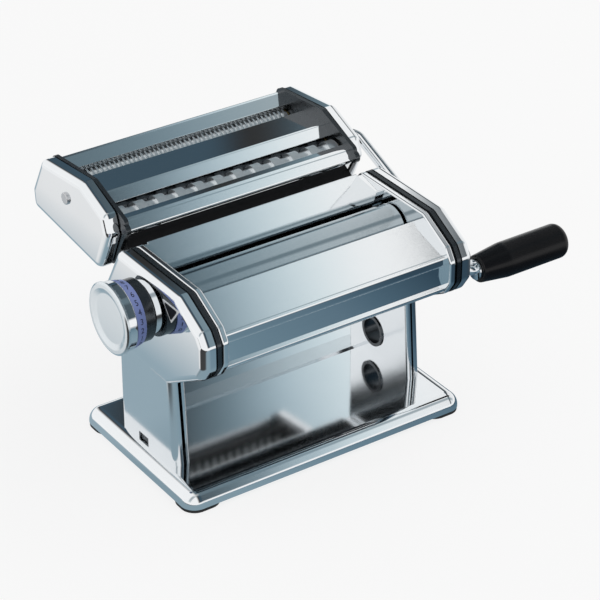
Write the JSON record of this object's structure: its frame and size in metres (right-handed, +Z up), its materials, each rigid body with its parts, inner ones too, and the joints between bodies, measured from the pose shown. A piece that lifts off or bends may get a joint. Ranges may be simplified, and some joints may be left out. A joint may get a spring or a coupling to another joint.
{
  "type": "pasta roller machine",
  "caption": "Hand-cranked kitchen machine with smooth sheet rollers, a thickness knob with a numbered dial, a lift-off noodle cutter head and a bent crank with a turning grip.",
  "frame": {"origin": "centre of the base footprint, on the table", "axes": "+X along the rollers to the crank end, -Y to the front, +Z up"},
  "size_m": [0.283, 0.1877, 0.1529],
  "materials": {
    "chrome_sheet": "mirror chrome plate",
    "plate_steel": "plain plated steel",
    "roller_aluminium": "satin anodised",
    "bush_brass": "turned",
    "black_plastic": "satin",
    "knob_black": "gloss",
    "dial_blue": "satin",
    "knob_white": "satin",
    "foot_rubber": "matte"
  },
  "bodies": {
    "body": {"base_plate": "chrome_sheet", "base_screws": "plate_steel", "rubber_feet": "foot_rubber", "left_leg_outer": "chrome_sheet", "left_leg_inner": "chrome_sheet", "right_leg_outer": "chrome_sheet", "right_leg_inner": "chrome_sheet", "clamp_eyelet": "chrome_sheet", "rear_strap": "chrome_sheet", "left_liner": "plate_steel", "right_liner": "plate_steel", "left_side_plate": "plate_steel", "right_side_plate": "plate_steel", "left_end_cover": "chrome_sheet", "right_end_cover": "chrome_sheet", "tie_rods": "plate_steel", "front_cover": "chrome_sheet", "hopper_panel": "chrome_sheet", "rear_cover": "chrome_sheet", "dough_guides": "black_plastic", "scrapers": "black_plastic", "cutter_rails": "plate_steel", "index_mark": "black_plastic", "knob_seat_ring": "knob_black", "rear_roller_bushes": "bush_brass"},
    "rear_roller": {"rear_roller": "roller_aluminium", "rear_roller_gear": "plate_steel"},
    "roller_carrier": {"front_roller_blocks": "bush_brass"},
    "front_roller": {"front_roller": "roller_aluminium", "front_roller_gear": "plate_steel"},
    "regulator": {"regulator_shaft": "plate_steel", "knob_spring": "plate_steel"},
    "knob": {"knob_core": "chrome_sheet", "dial_ring": "dial_blue", "knob_collar": "chrome_sheet", "knob_face": "knob_white"},
    "cutter_head": {"cutter_left_plate": "plate_steel", "cutter_right_plate": "plate_steel", "cutter_bushes": "bush_brass", "cutter_left_cover": "chrome_sheet", "cutter_right_cover": "chrome_sheet", "cutter_cover_screws": "chrome_sheet", "cutter_front_panel": "chrome_sheet", "cutter_centre_panel": "chrome_sheet", "cutter_back_panel": "chrome_sheet", "cutter_tie_rods": "plate_steel", "wide_comb": "black_plastic", "narrow_comb": "black_plastic", "cutter_hooks": "plate_steel"},
    "wide_drive": {"wide_drive_cutter": "roller_aluminium", "wide_drive_gear": "plate_steel"},
    "wide_driven": {"wide_driven_cutter": "roller_aluminium", "wide_driven_gear": "plate_steel"},
    "narrow_drive": {"narrow_drive_cutter": "roller_aluminium", "narrow_drive_gear": "plate_steel"},
    "narrow_driven": {"narrow_driven_cutter": "roller_aluminium", "narrow_driven_gear": "plate_steel"},
    "crank": {"crank_rod": "chrome_sheet"},
    "grip": {"crank_grip": "black_plastic"}
  },
  "joints": [
    {"name": "roller_spin", "type": "hinge", "parent": "body", "child": "rear_roller", "pos_m": [0, 0.01167, 0.09575], "axis": [1, 0, 0], "continuous": true},
    {"name": "regulator_turn", "type": "hinge", "parent": "body", "child": "regulator", "pos_m": [-0.095, -0.0086, 0.1089], "axis": [-1, 0, 0], "range_deg": [-80, 64]},
    {"name": "knob_pull", "type": "slide", "parent": "regulator", "child": "knob", "axis": [-1, 0, 0], "range_m": [0, 0.004], "stiffness_N_per_m": 1200},
    {"name": "roller_gap", "type": "slide", "parent": "body", "child": "roller_carrier", "axis": [0, -0.866, 0.5], "range_m": [-0.0023, 0.00184]},
    {"name": "front_roller_spin", "type": "hinge", "parent": "roller_carrier", "child": "front_roller", "pos_m": [0, -0.0144, 0.1108], "axis": [1, 0, 0], "continuous": true},
    {"name": "cutter_lift", "type": "slide", "parent": "body", "child": "cutter_head", "axis": [0, -0.5021, 0.8648], "range_m": [0, 0.035]},
    {"name": "wide_drive_spin", "type": "hinge", "parent": "cutter_head", "child": "wide_drive", "pos_m": [0, 0.0618, 0.131], "axis": [1, 0, 0], "continuous": true},
    {"name": "wide_driven_spin", "type": "hinge", "parent": "cutter_head", "child": "wide_driven", "pos_m": [0, 0.0468, 0.131], "axis": [1, 0, 0], "continuous": true},
    {"name": "narrow_drive_spin", "type": "hinge", "parent": "cutter_head", "child": "narrow_drive", "pos_m": [0, 0.0995, 0.131], "axis": [1, 0, 0], "continuous": true},
    {"name": "narrow_driven_spin", "type": "hinge", "parent": "cutter_head", "child": "narrow_driven", "pos_m": [0, 0.0845, 0.131], "axis": [1, 0, 0], "continuous": true},
    {"name": "crank_pull", "type": "slide", "parent": "wide_drive", "child": "crank", "axis": [1, 0, 0], "range_m": [0, 0.03]},
    {"name": "grip_spin", "type": "hinge", "parent": "crank", "child": "grip", "pos_m": [0.14, -0.049, 0.0872], "axis": [1, 0, 0], "continuous": true}
  ],
  "couplings": [
    {"joint": "front_roller_spin", "follows": "roller_spin", "ratio": -1},
    {"joint": "regulator_turn", "follows": "roller_gap", "rad_per_m": 607.07},
    {"joint": "wide_driven_spin", "follows": "wide_drive_spin", "ratio": -1},
    {"joint": "narrow_driven_spin", "follows": "narrow_drive_spin", "ratio": -1}
  ]
}
